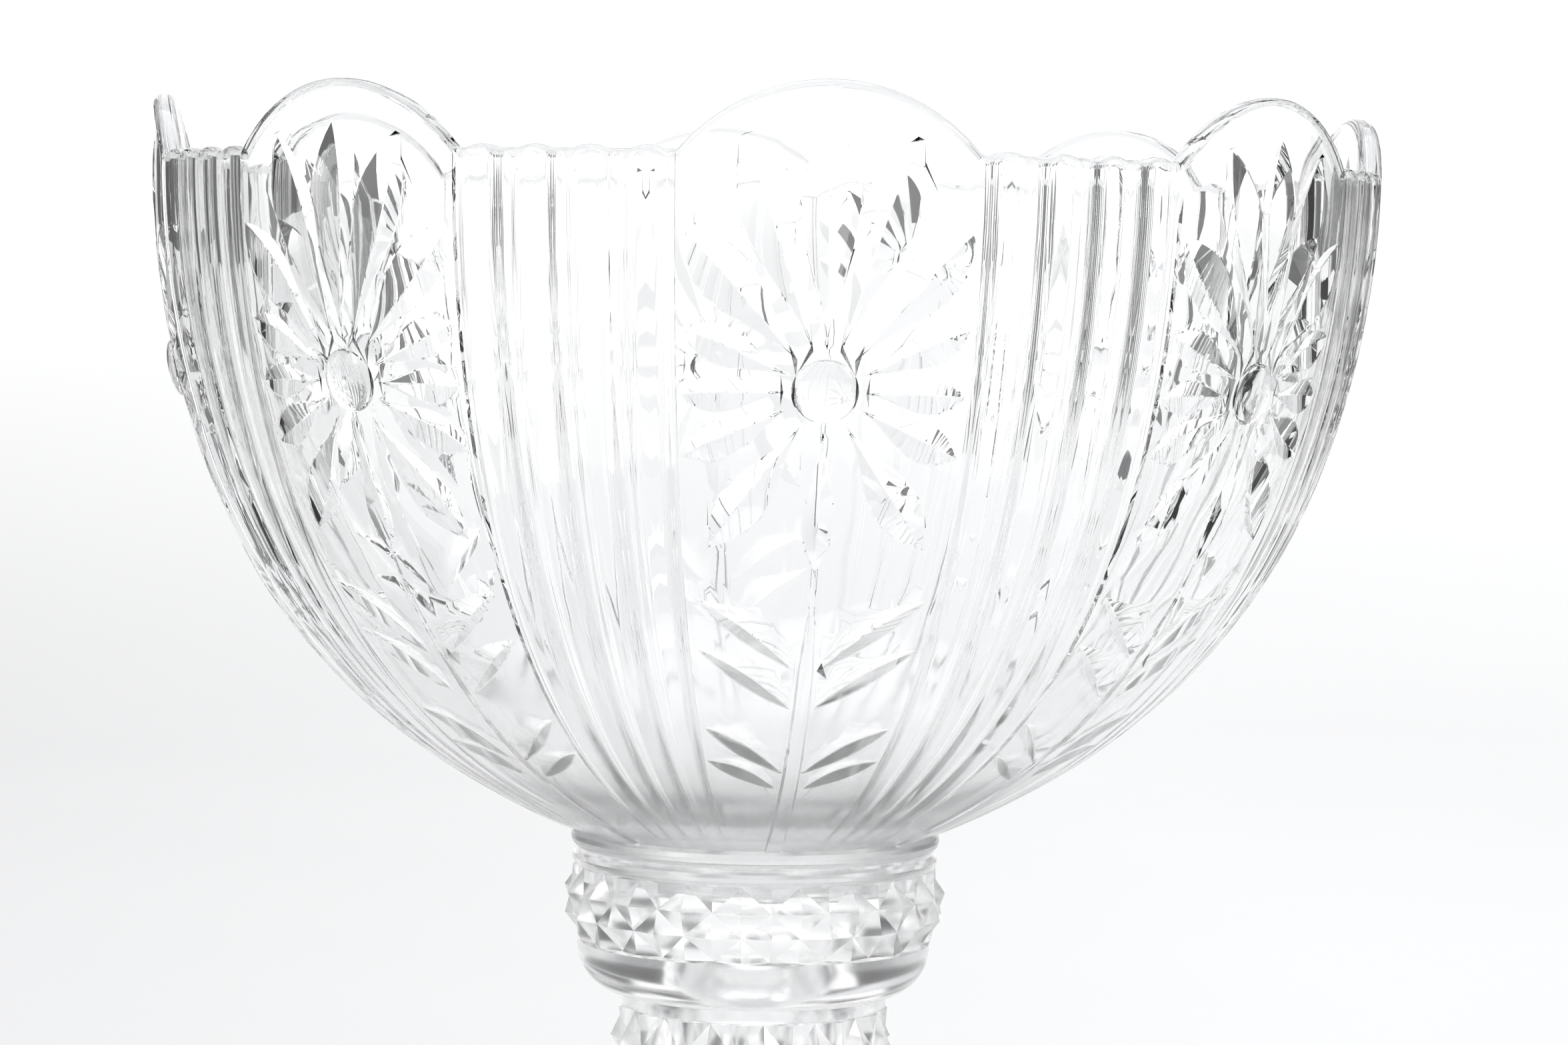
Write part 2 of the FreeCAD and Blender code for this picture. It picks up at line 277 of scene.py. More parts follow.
# %% [markdown]
# ## Bending the plate into the wall
#
# Now every point of the plate moves to its place on the bowl. The rim of a flower panel rises in
# a round scallop, so the strip just under the rim is stretched upwards there. In the flute
# panels the outside is pushed in by a round groove between two columns, and each column lifts
# the rim a little. The grooves get shallower as they come together near the foot.

# %% The scalloped rim and the flutes
SCALLOP_HALF = RIM_RADIUS * math.sin(math.radians(FIELD_EDGE))
SCALLOP_RADIUS = (SCALLOP_HALF ** 2 + SCALLOP_RISE ** 2) / (2 * SCALLOP_RISE)
COLUMN_LIFT = 0.9 * MM
COLUMN_CROWN = 0.12 * MM


def groove_and_column(degrees):
    """For an angle outside the flower panel: how far it is across a groove, and across a column."""
    off = HALF_SECTOR - abs(degrees)
    in_groove = abs(off - GROOVE_PITCH * round(off / GROOVE_PITCH)) / GROOVE_HALF
    half_column = GROOVE_PITCH / 2 - GROOVE_HALF
    on_column = abs(off % GROOVE_PITCH - GROOVE_PITCH / 2) / half_column
    return in_groove, on_column


def rim_rise(degrees):
    if abs(degrees) < FIELD_EDGE:
        across = RIM_RADIUS * math.sin(math.radians(degrees))
        return SCALLOP_RISE - SCALLOP_RADIUS + math.sqrt(SCALLOP_RADIUS ** 2 - across ** 2)
    in_groove, on_column = groove_and_column(degrees)
    return COLUMN_LIFT * (1 - on_column ** 2) if in_groove >= 1 else 0


def flute_depth(degrees, down, radius):
    if abs(degrees) < FIELD_EDGE + STEP / 2:
        return 0
    in_groove, on_column = groove_and_column(degrees)
    depth = GROOVE_DEPTH * (1 - in_groove ** 2) if in_groove < 1 else COLUMN_CROWN * on_column ** 2
    fade = min(1, max(0, (FOOT_DOWN - 4 * MM - down) / (14 * MM)))
    return depth * fade * (radius / RIM_RADIUS) ** 0.7


def on_bowl(radius, height, angle):
    return Vector((radius * math.sin(angle), -radius * math.cos(angle), RIM_Z + height))


def bend(point):
    """Where a point of the flat plate goes on the bowl."""
    angle, down, through = point.x / RIM_RADIUS, -point.y, -point.z / WALL
    if down > FOOT_DOWN + MM / 2:
        outer_r, outer_h, inner_r = BASE_ROWS[round((down - FOOT_DOWN) / MM) - 1]
        outer = Vector((outer_r * MM, SEAT_Z - RIM_Z + outer_h * MM))
        inner = Vector((inner_r * MM, floor_height(inner_r * MM)))
    else:
        degrees = math.degrees(angle)
        held = min(1, max(0, (STRETCH_END - down) / (STRETCH_END - 2.5 * MM)))
        down -= rim_rise(degrees) * held
        outer, out = outer_wall(down)
        outer = outer - out * flute_depth(degrees, down, outer.x)
        inner = inner_wall(down)
    spot = outer.lerp(inner, through)
    return on_bowl(spot.x, spot.y, angle)


for v in bowl.data.vertices:
    v.co = bend(v.co)
merge_close(bowl, 1e-6)
face_outwards(bowl)
print("plate bent:", len(bowl.data.polygons), "faces, open edges:", open_edges(bowl))

# %% [markdown]
# ## The flower
#
# Each petal and leaf on the real bowl is a mitre: two flat faces that meet in a sharp line at
# the bottom, pointed at both ends. A glass cutter makes it with a wheel that has a V edge. The
# same thing works here. One three-sided bar is the blank. Each cut takes a copy, bends it along
# its path on the wall and lets its edge dip into the glass, and a Boolean takes it away. The
# deeper the edge dips, the wider the petal opens, so one curve gives both.

# %% The blank that every cut is made from
CUT_STEPS = 14
bpy.ops.object.select_all(action="DESELECT")
bpy.ops.mesh.primitive_cylinder_add(vertices=3, radius=1, depth=2, location=(0, 0, 0))
blank = bpy.context.object
blank.name = "mitre_blank"
pick(blank, "EDGE", lambda ends: abs(ends[0].z - ends[1].z) > 1)
bpy.ops.mesh.subdivide(number_cuts=CUT_STEPS - 1)
close_edit()
blank_corners = sorted({(round(v.co.x, 4), round(v.co.y, 4)) for v in blank.data.vertices})
print("blank has", len(blank.data.vertices), "points; its three corners are", blank_corners)

# %% Place a point that is given on the wall
def on_wall(across, down, above):
    """across and down are measured along the wall, above is straight out of it."""
    point, out = outer_wall(down)
    spot = point + out * above
    return on_bowl(spot.x, spot.y, across / point.x)


ABOVE = 1.0 * MM                                 # the cutter's top clears the glass by this
END_CLEAR = 0.12 * MM                            # and so does its edge at both ends


def mitre(name, start, tip, width, lean=0.5, arch=0.0, fullness=1.6, steepness=0.4):
    """A copy of the blank, bent along the line from start to tip. lean is the share of the width
    on the left of the line; a share other than a half makes one face narrow and steep."""
    cutter = blank.copy()
    cutter.data = blank.data.copy()
    cutter.name = name
    bpy.context.collection.objects.link(cutter)
    start, tip = Vector(start), Vector(tip)
    way = (tip - start).normalized()
    side = Vector((-way.y, way.x))
    left, right = 2 * lean, 2 * (1 - lean)
    for v in cutter.data.vertices:
        share = (v.co.z + 1) / 2
        half = width / 2 * math.sin(math.pi * share ** fullness)
        dip = steepness * half
        if share < 1e-3 or share > 1 - 1e-3:
            dip = -END_CLEAR
            half = dip / steepness
        corner_number = blank_corners.index((round(v.co.x, 4), round(v.co.y, 4)))
        reach = half + ABOVE / steepness
        offset = {0: -reach * left, 1: reach * right, 2: 0}[corner_number]
        above = -dip if corner_number == 2 else ABOVE
        spot = start + (tip - start) * share + side * (offset + arch * math.sin(math.pi * share))
        v.co = on_wall(spot.x, spot.y, above)
    face_outwards(cutter)
    return cutter


def carve(piece, tool, operation="DIFFERENCE"):
    """Takes a tool away from a piece, or adds it, and removes the tool."""
    before = len(piece.data.polygons)
    change = piece.modifiers.new("carve", "BOOLEAN")
    change.operation = operation
    change.solver = "EXACT"
    change.object = tool
    only(piece)
    bpy.ops.object.modifier_apply(modifier=change.name)
    bpy.data.objects.remove(tool)
    return len(piece.data.polygons) - before


# %% Cut the petals
HEART = 52.5 * MM                                # the flower's middle, down from the rim
PETALS = [                                       # across, down from the middle, width: all in mm
    (0.0, -59.1, 13.0), (18.8, -56.1, 13.0), (32.3, -35.8, 12.0), (31.8, -13.8, 8.5),
    (31.7, 1.1, 8.0), (30.6, 15.4, 9.0), (24.0, 37.3, 10.5), (0.0, 43.1, 7.0),
]
PETAL_START = 8.6 * MM
grown = 0
for number, (across, down, width) in enumerate(PETALS):
    tip = Vector((across, down)) * MM
    for hand in ((1,) if across == 0 else (1, -1)):
        reach = Vector((tip.x * hand, tip.y))
        start = reach.normalized() * PETAL_START
        middle = Vector((0, HEART))
        tool = mitre(f"petal_{number}", middle + start, middle + reach, width * MM)
        grown += carve(bowl, tool)
print("petal faces added:", grown, "open edges:", open_edges(bowl))

# %% Cut the leaves
LEAVES = [                                       # degrees and mm from the middle: tip, then base
    (12.0, 50.4, 1.1, 71.4), (12.1, 64.5, 1.15, 84.2),
    (12.3, 90.4, 1.55, 109.0), (12.65, 103.5, 2.25, 116.6),
]
LEAF_WIDTH = 6.8 * MM
LEAF_LEAN, LEAF_ARCH = 0.16, 0.8 * MM            # its upper face is wider, and it bows upwards
grown = 0
for number, (tip_turn, tip_down, base_turn, base_down) in enumerate(LEAVES):
    for hand in (1, -1):
        ends = []
        for turn, down in ((base_turn, base_down), (tip_turn, tip_down)):
            far = HEART + down * MM
            ends.append((hand * math.radians(turn) * outer_wall(far)[0].x, far))
        tool = mitre(f"leaf_{number}", ends[0], ends[1], LEAF_WIDTH,
                     lean=0.5 + LEAF_LEAN * hand, arch=-LEAF_ARCH * hand, fullness=1.0)
        grown += carve(bowl, tool)
print("leaf faces added:", grown, "open edges:", open_edges(bowl))

# %% [markdown]
# The flower's heart is a round button that stands proud of the wall, and a flat stem runs from
# the lowest petal down to the foot. Both are added with a Boolean union, so the glass stays one
# closed skin. That matters for clear glass: an inner skin left inside it would show.

# %% Add the button
BUTTON_RADIUS, BUTTON_DOME = 7.3 * MM, 2.3 * MM
BUTTON_SINK = 0.2 * MM                           # its widest ring lies this far inside the glass
bpy.ops.object.select_all(action="DESELECT")
bpy.ops.mesh.primitive_uv_sphere_add(segments=28, ring_count=14, radius=1, location=(0, 0, 0))
button = bpy.context.object
button.name = "button"
for v in button.data.vertices:
    v.co = on_wall(v.co.x * BUTTON_RADIUS, HEART - v.co.y * BUTTON_RADIUS,
                   v.co.z * BUTTON_DOME - BUTTON_SINK)
face_outwards(button)
print("button faces added:", carve(bowl, button, "UNION"), "open edges:", open_edges(bowl))

# %% Add the stem
STEM_TOP, STEM_END = HEART + 43.0 * MM, FOOT_DOWN - 1.0 * MM
STEM_HEIGHT, STEM_SINK = 0.75 * MM, 1.0 * MM     # out of the wall, and into it to hold fast
STEM_HALF, STEM_SLOPE = 0.5 * MM, 0.35 * MM      # its thin start, and how far its sides lean in
STEM_STEPS = 24
bpy.ops.object.select_all(action="DESELECT")
bpy.ops.mesh.primitive_cube_add(size=2, location=(0, 0, 0))
stem = bpy.context.object
stem.name = "stem"
pick(stem, "EDGE", lambda ends: abs(ends[0].y - ends[1].y) > 1)
bpy.ops.mesh.subdivide(number_cuts=STEM_STEPS - 1)
close_edit()
for v in stem.data.vertices:
    share = (1 - v.co.y) / 2
    down = STEM_TOP + (STEM_END - STEM_TOP) * share
    half = STEM_HALF * min(4.4, 0.5 + 16 * share) * (0.82 + 0.18 * share)
    if v.co.z > 0:
        half -= STEM_SLOPE * min(1, 5 * share)
        above = STEM_HEIGHT * min(1, 8 * share + 0.1)
    else:
        above = -STEM_SINK
    v.co = on_wall(v.co.x * half, down, above)
face_outwards(stem)
print("stem faces added:", carve(bowl, stem, "UNION"), "open edges:", open_edges(bowl))

# %% [markdown]
# Pressed glass has no knife edges: the mould and the fire polish ease every corner a little, and
# those narrow eased edges are what draw the bright lines round each petal. The cut edges are
# chosen by how sharply they turn and bevelled in one step. The strips stay flat and crisp,
# because a smooth blend would wash out the facets beside them.

# %% Ease the edges of the cuts
SHARP = math.radians(19)
EDGE_ROUND = 0.2 * MM
FIELD_LOW, FIELD_HIGH = SEAT_Z + 8 * MM, RIM_Z + 13 * MM


def in_field(places):
    """True if every point is inside the flower panel and between the foot and the scallop."""
    return all(abs(math.degrees(math.atan2(p.x, -p.y))) < FIELD_EDGE - 0.02
               and FIELD_LOW < p.z < FIELD_HIGH for p in places)


edit(bowl, "EDGE")
bpy.ops.mesh.select_all(action="DESELECT")
bpy.ops.mesh.edges_select_sharp(sharpness=SHARP)
close_edit()
cut_edges = {tuple(e.vertices) for e in bowl.data.edges if e.select
             and in_field([bowl.data.vertices[v].co for v in e.vertices])}
edit(bowl, "EDGE")
bpy.ops.mesh.select_all(action="DESELECT")
close_edit()
for e in bowl.data.edges:
    e.select = tuple(e.vertices) in cut_edges
bpy.ops.object.mode_set(mode="EDIT")
bpy.ops.mesh.bevel(offset=EDGE_ROUND, segments=1, affect="EDGES", clamp_overlap=False)
bpy.ops.mesh.region_to_loop()
bpy.ops.mesh.mark_sharp()
close_edit()
print("cut edges eased:", len(cut_edges), "triangles in one eighth:", triangles(bowl))
print("open edges:", open_edges(bowl))

# %% [markdown]
# ## Eight eighths make a bowl
#
# The two cut sides of the eighth are taken off, the rest is copied round the axis, and the
# seams are merged so that glass runs through without a wall inside. Edges stay sharp where the
# faces turn by more than about twenty degrees, and everything flatter than that is shaded as one
# smooth surface. The flutes are all smooth, so their marks are cleared.

# %% Copy round the axis and close the seams
side_angle = math.radians(HALF_SECTOR)
side_normals = [Vector((math.cos(a), math.sin(a), 0)) for a in (side_angle, -side_angle)]
chosen = pick(bowl, "FACE", lambda places: any(
    all(abs(p.dot(normal)) < 2e-6 for p in places) for normal in side_normals))
bpy.ops.mesh.delete(type="FACE")
close_edit()
print("side faces removed:", chosen, "open edges:", open_edges(bowl))
edit(bowl)
bpy.ops.mesh.spin(steps=PANELS - 1, dupli=True, angle=math.tau * (PANELS - 1) / PANELS,
                  center=(0, 0, 0), axis=(0, 0, 1))
close_edit()


def on_seam(places):
    p = places[0]
    turn = (math.degrees(math.atan2(p.x, -p.y)) - HALF_SECTOR) % (2 * HALF_SECTOR)
    return min(turn, 2 * HALF_SECTOR - turn) < 0.01 or p.xy.length < 0.5 * MM


pick(bowl, "VERT", on_seam)
bpy.ops.mesh.remove_doubles(threshold=8e-6)
close_edit()
face_outwards(bowl)
print("bowl:", triangles(bowl), "triangles, open edges:", open_edges(bowl))

# %% Shade it smooth except at the cuts
bpy.data.objects.remove(blank)
only(bowl)
bpy.ops.object.shade_smooth_by_angle(angle=SHARP)


def in_flutes(places):
    """True if every point is in the same flute panel, clear of the step up to the flowers."""
    for p in places:
        turn = math.degrees(math.atan2(p.x, -p.y)) % (2 * HALF_SECTOR)
        if abs(turn - HALF_SECTOR) > HALF_SECTOR - FIELD_EDGE - 1.5 * STEP or p.z < SEAT_Z + 6 * MM:
            return False
    return True


chosen = pick(bowl, "EDGE", in_flutes)
bpy.ops.mesh.mark_sharp(clear=True)
close_edit()
print("flute edges kept smooth:", chosen)

# %% [markdown]
# ## The stand
#
# The stand carries the bowl. It has a socket for the ring under the bowl, a round bead, a band of
# diamonds, a cup, a knop with more diamonds, and a stem that flares into a foot. The socket, the
# hollow inside and everything below the knop are out of sight, so they are guesses. Apart from
# the diamonds it is round, so it is one outline spun about the axis.

# %% The stand's outline
def arc_points(start, end, radius, parts, bulge=1):
    """Points between start and end on an arc of that radius, bulging to the right of the way."""
    start, end = place(*start), place(*end)
    chord = end - start
    side = Vector((chord.y, -chord.x)).normalized() * bulge
    radius = radius * MM
    centre = (start + end) / 2 - side * math.sqrt(radius ** 2 - (chord.length / 2) ** 2)
    turn = -2 * math.asin(chord.length / 2 / radius) * bulge
    return [centre + turned(start - centre, -turn * k / parts) for k in range(1, parts)]


TOP_GAP = 0.15                                   # a hair of air under the bowl's seat, mm
stand_top = SEAT_Z / MM - TOP_GAP
BAND = (116.5, 136.0)
KNOP = (82.5, 100.5)
SEGMENTS = 120
stand_outline = [place(0, 131), place(20, 131), place(37.9, 131), place(38.3, 131.4),
                 place(38.3, stand_top - 0.5), place(38.8, stand_top), place(44.2, stand_top)]
stand_outline += arc_points((44.2, stand_top), (45.4, BAND[1]), 2.4, 5, -1)
stand_outline += [place(45.4, BAND[1]), place(44.2, BAND[0])]
stand_outline += arc_points((44.2, BAND[0]), (33.5, 103.5), 12.0, 10, -1)
stand_outline += [place(33.5, 103.5), place(33.5, KNOP[1] + 1.0), place(33.6, KNOP[1]),
                  place(31.5, KNOP[0]), place(29.5, 80.0)]
stand_outline += [place(27, 77.5)] + arc_points((27, 77.5), (86, 7), 71.6, 22, 1)
stand_outline += [place(86, 7), place(86.0, 2.0), place(85.4, 0.6), place(84, 0), place(80.4, 0)]
stand_outline += arc_points((80.4, 0), (19, 77.5), 79.6, 18, -1)
stand_outline += [place(19, 77.5), place(19, 99), place(17.8, 106.5), place(13.8, 112.8),
                  place(7.4, 116.8), place(0, 118)]
print("stand outline:", len(stand_outline), "points")

# %% Spin the outline
bpy.ops.object.select_all(action="DESELECT")
bpy.ops.mesh.primitive_circle_add(vertices=len(stand_outline), radius=1, location=(0, 0, 0))
stand = bpy.context.object
stand.name = stand.data.name = "cut_stand"
for v, spot in zip(stand.data.vertices, stand_outline):
    v.co = (0, -spot.x, spot.y)
edit(stand)
bpy.ops.mesh.spin(steps=SEGMENTS, angle=math.tau, center=(0, 0, 0), axis=(0, 0, 1))
close_edit()
merge_close(stand, 1e-6)
face_outwards(stand)
print("turned stand:", triangles(stand), "triangles, open edges:", open_edges(stand))

# %% [markdown]
# ## The bands of diamonds
#
# Each band is rows of small pyramids that stand on their corners. They could be cut one by one
# into the round wall, but a flat strip is simpler: a square grid is turned on its corner, poked
# so that every square rises to a point, trimmed straight and wrapped round. The turned wall is
# opened where a band goes, and the gap to the strip is bridged. The last print of this part
# counts the open edges that are left.

# %% A band of diamonds
BAND_SWELL = 0.16                                # how far a band bulges, as a share of its height


def diamond_band(name, around, rows, low, high, height):
    """A closed strip of pyramids. low and high are the (radius, height) of its ends in mm."""
    wide = 2 * around
    count = (wide + rows) // 2 + 4
    bpy.ops.object.select_all(action="DESELECT")
    bpy.ops.mesh.primitive_grid_add(x_subdivisions=2 * count, y_subdivisions=2 * count,
                                    size=2 * count * math.sqrt(2), location=(0, 0, 0))
    strip = bpy.context.object
    strip.name = name
    edit(strip, "FACE")
    bpy.ops.transform.rotate(value=math.radians(45), orient_axis="Z", center_override=(0, 0, 0))
    bpy.ops.mesh.poke(offset=1.0)
    for spot, way in (((-around, 0, 0), (-1, 0, 0)), ((around, 0, 0), (1, 0, 0)),
                      ((0, 0, 0), (0, -1, 0)), ((0, rows, 0), (0, 1, 0))):
        bpy.ops.mesh.select_all(action="SELECT")
        bpy.ops.mesh.bisect(plane_co=spot, plane_no=way, clear_outer=True, threshold=1e-3)
    close_edit()
    start, end = place(*low), place(*high)
    swell = (end - start).length * BAND_SWELL
    for v in strip.data.vertices:
        share = v.co.y / rows
        spot = start.lerp(end, share)
        radius = spot.x + swell * 4 * share * (1 - share) - height * (1 - max(0, v.co.z))
        angle = math.pi * v.co.x / around
        v.co = (radius * math.sin(angle), -radius * math.cos(angle), spot.y)
    merge_close(strip, 1e-6)
    return strip


def set_band(strip, low_z, high_z, least_radius):
    """Opens the turned wall between two heights, joins the strip there and bridges both gaps."""
    pick(stand, "FACE", lambda places: all(
        low_z - 1e-6 < p.z < high_z + 1e-6 and p.xy.length > least_radius for p in places))
    bpy.ops.mesh.delete(type="FACE")
    close_edit()
    only(stand)
    strip.select_set(True)
    bpy.ops.object.join()
    sides = {}
    for face in stand.data.polygons:
        for key in face.edge_keys:
            sides[key] = sides.get(key, 0) + 1
    loose = {key for key, count in sides.items() if count == 1}
    middle = (low_z + high_z) / 2
    for upper in (False, True):
        edit(stand, "EDGE")
        bpy.ops.mesh.select_all(action="DESELECT")
        close_edit()
        for e in stand.data.edges:
            a, b = (stand.data.vertices[v].co for v in e.vertices)
            e.select = tuple(sorted(e.vertices)) in loose and ((a.z + b.z) / 2 > middle) == upper
        bpy.ops.object.mode_set(mode="EDIT")
        bpy.ops.mesh.bridge_edge_loops()
        close_edit()


EDGE_GAP = 0.6                                   # plain glass above and below a strip, mm
BAND_AROUND, BAND_ROWS, BAND_POINT = 20, 3, 1.9 * MM
KNOP_AROUND, KNOP_ROWS, KNOP_POINT = 15, 2, 2.2 * MM
band_strip = diamond_band("band_strip", BAND_AROUND, BAND_ROWS, (44.6, BAND[0] + EDGE_GAP),
                          (45.8, BAND[1] - EDGE_GAP), BAND_POINT)
knop_strip = diamond_band("knop_strip", KNOP_AROUND, KNOP_ROWS, (32.0, KNOP[0] + EDGE_GAP),
                          (34.0, KNOP[1] - EDGE_GAP), KNOP_POINT)
print("faces in the band's strip:", len(band_strip.data.polygons))
print("faces in the knop's strip:", len(knop_strip.data.polygons))
set_band(band_strip, BAND[0] * MM, BAND[1] * MM, 42 * MM)
set_band(knop_strip, KNOP[0] * MM, KNOP[1] * MM, 30 * MM)
face_outwards(stand)
only(stand)
bpy.ops.object.shade_smooth_by_angle(angle=SHARP)
print("stand:", triangles(stand), "triangles, open edges:", open_edges(stand))

# %% [markdown]
# ## Clear glass
#
# Pressed glass isn't perfect: the mould leaves a slow ripple and the skin has places that are a
# touch less shiny. The stand and the foot of the bowl look softer than the wall above them, so a
# mist of fine roughness covers the stand and fades out above the seat. Both pieces share these
# effects, so they are one node group with its own inputs, and each material sets how strong
# they are. The transmission and the bending of light are plain values on the shader.

# %% The skin of pressed glass as a node group
MIST_FADE = 70 * MM                              # the mist is gone this high above the seat


def build_skin_group():
    group = bpy.data.node_groups.new("pressed_skin", "ShaderNodeTree")
    for label, usual in (("Ripple Scale", 18.0), ("Haze", 0.015), ("Mist", 0.0)):
        socket = group.interface.new_socket(label, in_out="INPUT", socket_type="NodeSocketFloat")
        socket.default_value = usual
    for label, kind in (("Color", "NodeSocketColor"), ("Roughness", "NodeSocketFloat"),
                        ("Height", "NodeSocketFloat")):
        group.interface.new_socket(label, in_out="OUTPUT", socket_type=kind)
    nodes, links = group.nodes, group.links
    entry, leave = nodes.new("NodeGroupInput"), nodes.new("NodeGroupOutput")
    place_node = nodes.new("ShaderNodeTexCoord")
    ripple = nodes.new("ShaderNodeTexNoise")
    ripple.inputs["Detail"].default_value = 2.0
    cloud = nodes.new("ShaderNodeTexNoise")
    cloud.inputs["Scale"].default_value = 55.0
    cloud.inputs["Detail"].default_value = 3.0
    spread = nodes.new("ShaderNodeMapRange")
    spread.inputs["From Min"].default_value = 0.45
    spread.inputs["From Max"].default_value = 0.8
    spread.inputs["To Min"].default_value = 0.0
    split_place = nodes.new("ShaderNodeSeparateXYZ")
    low_down = nodes.new("ShaderNodeMapRange")
    low_down.inputs["From Min"].default_value = SEAT_Z
    low_down.inputs["From Max"].default_value = SEAT_Z + MIST_FADE
    low_down.inputs["To Min"].default_value = 1.0
    low_down.inputs["To Max"].default_value = 0.0
    mist = nodes.new("ShaderNodeMath")
    mist.operation = "MULTIPLY_ADD"
    tint = nodes.new("ShaderNodeValToRGB")
    tint.color_ramp.elements[0].color = (0.982, 0.986, 0.986, 1)
    tint.color_ramp.elements[1].color = (0.998, 1.0, 1.0, 1)
    links.new(place_node.outputs["Object"], ripple.inputs["Vector"])
    links.new(place_node.outputs["Object"], cloud.inputs["Vector"])
    links.new(entry.outputs["Ripple Scale"], ripple.inputs["Scale"])
    links.new(cloud.outputs["Fac"], spread.inputs["Value"])
    links.new(entry.outputs["Haze"], spread.inputs["To Max"])
    links.new(ripple.outputs["Fac"], tint.inputs["Fac"])
    links.new(tint.outputs["Color"], leave.inputs["Color"])
    links.new(place_node.outputs["Object"], split_place.inputs["Vector"])
    links.new(split_place.outputs["Z"], low_down.inputs["Value"])
    links.new(low_down.outputs["Result"], mist.inputs[0])
    links.new(entry.outputs["Mist"], mist.inputs[1])
    links.new(spread.outputs["Result"], mist.inputs[2])
    links.new(mist.outputs["Value"], leave.inputs["Roughness"])
    links.new(ripple.outputs["Fac"], leave.inputs["Height"])
    return group


skin_group = build_skin_group()
outputs = [item.name for item in skin_group.interface.items_tree if item.in_out == "OUTPUT"]
print("the skin gives:", outputs)

# %% Clear glass for the bowl and the stand
IOR = 1.52                                       # how strongly common glass bends light


def glass(name, ripple_scale, haze, mist, ripple_height):
    """Clear glass: haze is how rough its dull patches are, mist how rough it is low down."""
    material = bpy.data.materials.new(name)
    material.use_nodes = True
    nodes, links = material.node_tree.nodes, material.node_tree.links
    shader = nodes["Principled BSDF"]
    shader.inputs["Transmission Weight"].default_value = 1.0
    shader.inputs["IOR"].default_value = IOR
    skin = nodes.new("ShaderNodeGroup")
    skin.node_tree = skin_group
    skin.inputs["Ripple Scale"].default_value = ripple_scale
    skin.inputs["Haze"].default_value = haze
    skin.inputs["Mist"].default_value = mist
    bump = nodes.new("ShaderNodeBump")
    bump.inputs["Strength"].default_value = 0.25
    bump.inputs["Distance"].default_value = ripple_height
    links.new(skin.outputs["Color"], shader.inputs["Base Color"])
    links.new(skin.outputs["Roughness"], shader.inputs["Roughness"])
    links.new(skin.outputs["Height"], bump.inputs["Height"])
    links.new(bump.outputs["Normal"], shader.inputs["Normal"])
    return material


bowl_glass = glass("clear_bowl_glass", ripple_scale=22.0, haze=0.05, mist=0.22,
                   ripple_height=1.2 * MM)
stand_glass = glass("clear_stand_glass", ripple_scale=30.0, haze=0.05, mist=0.14,
                    ripple_height=1.0 * MM)
for piece, body, slot_name, material in ((bowl, "bowl", "bowl_glass", bowl_glass),
                                         (stand, "stand", "stand_glass", stand_glass)):
    piece.data.materials.clear()
    piece.data.materials.append(material)
    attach(piece, body)
    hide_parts(body)
    print(piece.name, "is made of", material.name, "and rides on the", body)

# %% [markdown]
# ## The studio
#
# Glass is lit by what stands round it. A bright sweep behind makes it glow, and its edges draw
# themselves where they bend the eye towards something darker. The floor runs out flat and
# curves up into a wall all the way round, so every side of the bowl has the same pale ground.

# %% Floor and sweep
FLOOR_FLAT, SWEEP_RADIUS, WALL_TOP = 1.5, 2.1, 3.6
SWEEP_STEPS = 18
sweep_outline = [(0.0, 0.0), (0.6, 0.0), (1.1, 0.0), (FLOOR_FLAT, 0.0)]
for k in range(1, SWEEP_STEPS + 1):
    angle = math.pi / 2 * k / SWEEP_STEPS
    sweep_outline.append((FLOOR_FLAT + SWEEP_RADIUS * math.sin(angle),
                          SWEEP_RADIUS * (1 - math.cos(angle))))
sweep_outline.append((FLOOR_FLAT + SWEEP_RADIUS, WALL_TOP))
bpy.ops.object.select_all(action="DESELECT")
bpy.ops.mesh.primitive_circle_add(vertices=len(sweep_outline), radius=1, location=(0, 0, 0))
sweep = bpy.context.object
sweep.name = "studio_sweep"
for v, (r, z) in zip(sweep.data.vertices, sweep_outline):
    v.co = (0, -r, z)
pick(sweep, "EDGE", lambda ends: min(p.z for p in ends) < 1e-6
     and max(p.z for p in ends) > WALL_TOP - 1e-6)
bpy.ops.mesh.delete(type="EDGE")
close_edit()
edit(sweep)
bpy.ops.mesh.spin(steps=96, angle=math.tau, center=(0, 0, 0), axis=(0, 0, 1))
close_edit()
merge_close(sweep, 1e-5)
edit(sweep, "FACE")
bpy.ops.mesh.normals_make_consistent(inside=True)
close_edit()
only(sweep)
bpy.ops.object.shade_smooth_by_angle(angle=math.radians(40))
print("sweep:", len(sweep.data.polygons), "faces,", 2 * (FLOOR_FLAT + SWEEP_RADIUS), "m across")

# %% A pale sweep that glows softly higher up
sweep_paint = bpy.data.materials.new("pale_sweep")
sweep_paint.use_nodes = True
nodes, links = sweep_paint.node_tree.nodes, sweep_paint.node_tree.links
shader = nodes["Principled BSDF"]
shader.inputs["Roughness"].default_value = 0.85
shader.inputs["Emission Color"].default_value = (1, 1, 1, 1)


def ramp_over(from_min, from_max, to_min, to_max):
    """A node that turns one range of values into another."""
    node = nodes.new("ShaderNodeMapRange")
    for label, value in (("From Min", from_min), ("From Max", from_max),
                         ("To Min", to_min), ("To Max", to_max)):
        node.inputs[label].default_value = value
    return node


